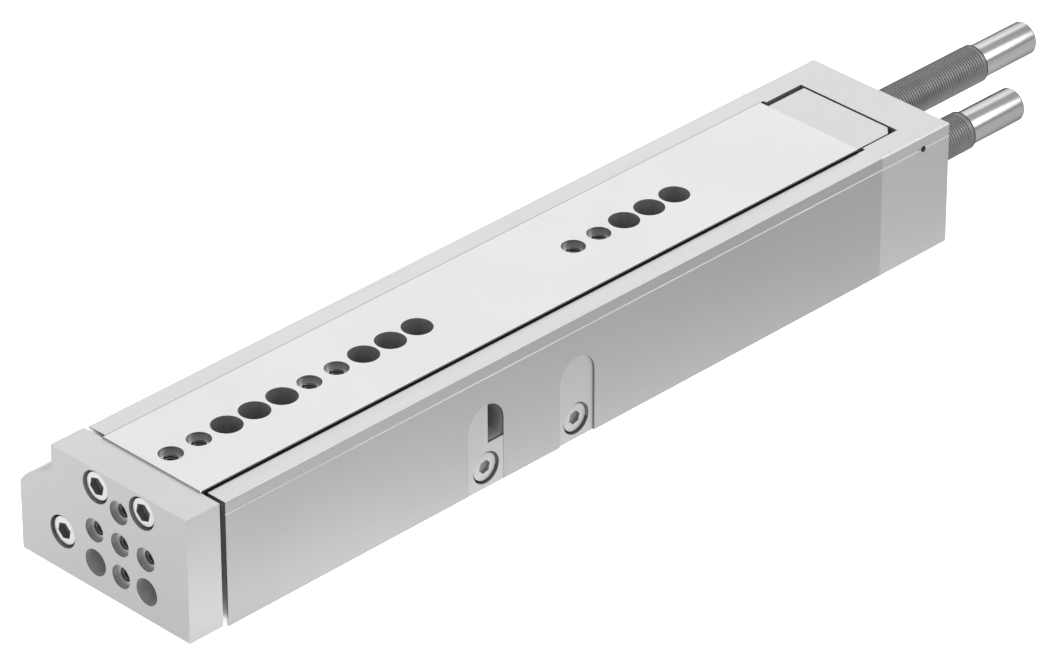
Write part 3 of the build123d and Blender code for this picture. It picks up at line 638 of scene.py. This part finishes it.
def addThread(bm, root, crest, pitch, start, end, steps):
    # a coil of one tooth, closed at both ends, that runs from start to end along Z
    foot = root - math.copysign(toothShape["sunk"], crest - root)
    turn = bmesh.new()
    verts = [turn.verts.new((radius, 0, start + share * pitch))
             for radius, share in zip((foot, crest, crest, foot), toothShape["shares"])]
    edges = [turn.edges.new((a, b)) for a, b in zip(verts, verts[1:] + verts[:1])]
    bmesh.ops.spin(turn, geom=verts + edges, cent=(0, 0, 0), axis=(0, 0, 1), dvec=(0, 0, pitch / steps),
                   angle=2 * math.pi, steps=steps, use_merge=False)
    oneTurn = bpy.data.meshes.new("turn")
    turn.to_mesh(oneTurn)
    turn.free()
    coil = bmesh.new()
    for _ in range(int((end - start - pitch) / pitch)):
        bmesh.ops.translate(coil, verts=coil.verts, vec=(0, 0, pitch))
        coil.from_mesh(oneTurn)
    bpy.data.meshes.remove(oneTurn)
    bmesh.ops.remove_doubles(coil, verts=coil.verts, dist=meshing["coilWeld"])
    bmesh.ops.holes_fill(coil, edges=[e for e in coil.edges if e.is_boundary], sides=4)
    bmesh.ops.recalc_face_normals(coil, faces=coil.faces)
    addMesh(bm, coil)


# radii, and heights from the nose end
absorberShape = {
    "steps": 48,
    "coilSteps": 36,
    "crest": 5.9 * mm,
    "root": 5.64 * mm,
    "rootRun": 0.1 * mm,  # height of the step from the crest down to the root
    "pitch": 1.0 * mm,
    "endChamfer": 0.5 * mm,
    "tail": 5.2 * mm,
    "tailRound": 0.9 * mm,
    "tailRoundSteps": 5,
    "mouth": 3.1 * mm,
    "mouthDepth": 3.05 * mm,
    "guide": 2.05 * mm,
    "guideDepth": 6.05 * mm,
    "chamber": 4.3 * mm,
    "chamberEnd": 74.0 * mm,
    "key": 4.0 * mm,
    "keyDepth": 3.0 * mm,
    "keyRim": 0.4 * mm,
    "seam": 0.01 * mm,  # the tail's finish begins this much before the thread's end
}
absorbers = [
    {"name": "retractAbsorber", "node": "retract_absorber", "body": "housing_body",
     "thread": 61.2 * mm, "length": 83.3 * mm},
    {"name": "advanceAbsorber", "node": "advance_absorber", "body": "slide_body",
     "thread": 56.5 * mm, "length": 78.4 * mm},
]


def noseOf(node):
    # the middle of the node's end that looks forward
    low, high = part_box(node)
    return Vector(((low.x + high.x) / 2, low.y, (low.z + high.z) / 2))


def makeAbsorber(setup, shape):
    thread, length = setup["thread"], setup["length"]
    chamfer, crest, root, run = (shape[part] for part in ("endChamfer", "crest", "root", "rootRun"))
    tail, tailRound, roundSteps = shape["tail"], shape["tailRound"], shape["tailRoundSteps"]
    ring = shape["key"] / math.sqrt(3) + shape["keyRim"]
    arc = [(tail - tailRound + tailRound * math.cos(a), length - tailRound + tailRound * math.sin(a))
           for a in [math.radians(90 * i / roundSteps) for i in range(roundSteps + 1)]]
    points = [
        (0, shape["chamberEnd"]),
        (shape["chamber"], shape["chamberEnd"]),
        (shape["chamber"], shape["guideDepth"]),
        (shape["guide"], shape["guideDepth"]),
        (shape["guide"], shape["mouthDepth"]),
        (shape["mouth"], shape["mouthDepth"]),
        (shape["mouth"], 0),
        (crest - chamfer, 0),
        (crest, chamfer),
        (root, chamfer + run),
        (root, thread - chamfer - run),
        (crest, thread - chamfer),
        (crest - chamfer, thread),
        (tail, thread),
        *arc,
        (ring, length),
    ]
    bm = bmesh.new()
    spinProfile(bm, points, shape["steps"])
    sinkHexKey(bm, ring, length, shape["key"], shape["keyDepth"])
    addThread(bm, root, crest, shape["pitch"], chamfer, thread - chamfer, shape["coilSteps"])
    for face in bm.faces:
        face.material_index = 1 if face.calc_center_median().z > thread - shape["seam"] else 0
    bmesh.ops.transform(bm, matrix=turnTo((0, 1, 0), noseOf(setup["node"])), verts=bm.verts)
    finishPiece(bm, setup["name"], ["absorberThread", "absorberTail"], setup["body"],
                stands=[setup["node"]])


for absorber in absorbers:
    makeAbsorber(absorber, absorberShape)
print("shock absorbers made")


threadSteps = 24
threadSets = [
    {"name": "slideThreads", "body": "slide_body", "slot": "slide_steel", "direction": (0, 0, 1),
     "core": 2.1 * mm, "depth": 0.18 * mm, "pitch": 0.8 * mm, "length": 8.8 * mm,
     "places": [(0, y * mm, 29.1 * mm) for y in (5.2, 15.2, 55.2, 65.2, 155.2, 165.2)]},
    {"name": "plateThreads", "body": "slide_body", "slot": "anodised", "direction": (0, 1, 0),
     "core": 2.1 * mm, "depth": 0.18 * mm, "pitch": 0.8 * mm, "length": 10.0 * mm,
     "places": [(x * mm, -11.9 * mm, z * mm)
                for x, z in ((0, 19.6), (10, 19.6), (-10, 19.6), (0, 29.6), (0, 9.6))]},
    {"name": "baseThreads", "body": "housing_body", "slot": "anodised", "direction": (0, 0, 1),
     "core": 2.5 * mm, "depth": 0.22 * mm, "pitch": 1.0 * mm, "length": 6.8 * mm,
     "places": [(0, y * mm, 2.1 * mm) for y in (20.2, 60.2, 160.2, 220.2)]},
    {"name": "portThreads", "body": "housing_body", "slot": "anodised", "direction": (1, 0, 0),
     "core": 2.1 * mm, "depth": 0.18 * mm, "pitch": 0.8 * mm, "length": 4.6 * mm,
     "places": [(-39.4 * mm, 24.0 * mm, 7.4 * mm), (-39.4 * mm, 266.4 * mm, 13.3 * mm)]},
]


def makeThreads(setup):
    bm = bmesh.new()
    core, crest = setup["core"], setup["core"] - setup["depth"]
    for place in setup["places"]:
        one = bmesh.new()
        addThread(one, core, crest, setup["pitch"], 0, setup["length"], threadSteps)
        bmesh.ops.transform(one, matrix=turnTo(setup["direction"], Vector(place)), verts=one.verts)
        addMesh(bm, one)
    finishPiece(bm, setup["name"], ["cutThreadPaintedShade"], setup["body"])


for threads in threadSets:
    makeThreads(threads)
print("threads made")


nutShape = {
    "steps": 96,
    "flats": 14.0 * mm,
    "inner": 6.05 * mm,
    "innerChamfer": 0.4 * mm,
    "faceInset": 0.1 * mm,  # the flat faces' circle inside the flats
    "cornerDrop": 0.55 * mm,
    "turn": 30,  # degrees, so that two flats lie level
}


def pressFlats(bm, flats):
    # everything outside the hexagon is pressed in to it
    for v in bm.verts:
        limit = hexagonReach(v, flats)
        if v.co.xy.length > limit:
            v.co.xy *= limit / v.co.xy.length


def makeLockNut(name, node, body, shape):
    low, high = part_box(node)
    length = high.y - low.y
    face, corner = shape["flats"] / 2 - shape["faceInset"], shape["flats"] / math.sqrt(3)
    drop, inner, chamfer = shape["cornerDrop"], shape["inner"], shape["innerChamfer"]
    points = [(inner, chamfer), (inner + chamfer, 0), (face, 0), (corner, drop),
              (corner, length - drop), (face, length), (inner + chamfer, length),
              (inner, length - chamfer), (inner, chamfer)]
    bm = bmesh.new()
    spinProfile(bm, points, shape["steps"])
    pressFlats(bm, shape["flats"])
    turn = turnTo((0, 1, 0), noseOf(node), math.radians(shape["turn"]))
    bmesh.ops.transform(bm, matrix=turn, verts=bm.verts)
    finishPiece(bm, name, ["absorberThread"], body, stands=[node])


makeLockNut("retractLockNut", "retract_absorber_nut", "housing_body", nutShape)
makeLockNut("advanceLockNut", "advance_absorber_nut", "slide_body", nutShape)
print("lock nuts made")


# the rim of the small hole in the cap's side: a real chamfer, made in the screws' lighter finish as a
# painted highlight
holeRim = {
    "steps": 32,
    "inner": 1.02 * mm,
    "outer": 1.55 * mm,
    "depth": 0.8 * mm,
    "chamfer": 0.15 * mm,
    "place": (26.49 * mm, 269.6 * mm, 34.6 * mm),
}


def makeHoleRim(shape):
    inner, outer, depth, chamfer = (shape[part] for part in ("inner", "outer", "depth", "chamfer"))
    points = [(inner, -depth), (outer, -depth), (outer, -chamfer), (outer - chamfer, 0),
              (inner + chamfer, 0), (inner, -chamfer), (inner, -depth)]
    bm = bmesh.new()
    spinProfile(bm, points, shape["steps"])
    bmesh.ops.transform(bm, matrix=turnTo((1, 0, 0), Vector(shape["place"])), verts=bm.verts)
    finishPiece(bm, "capHoleRim", ["zincScrew"], "housing_body")


makeHoleRim(holeRim)
print("hole rim made")
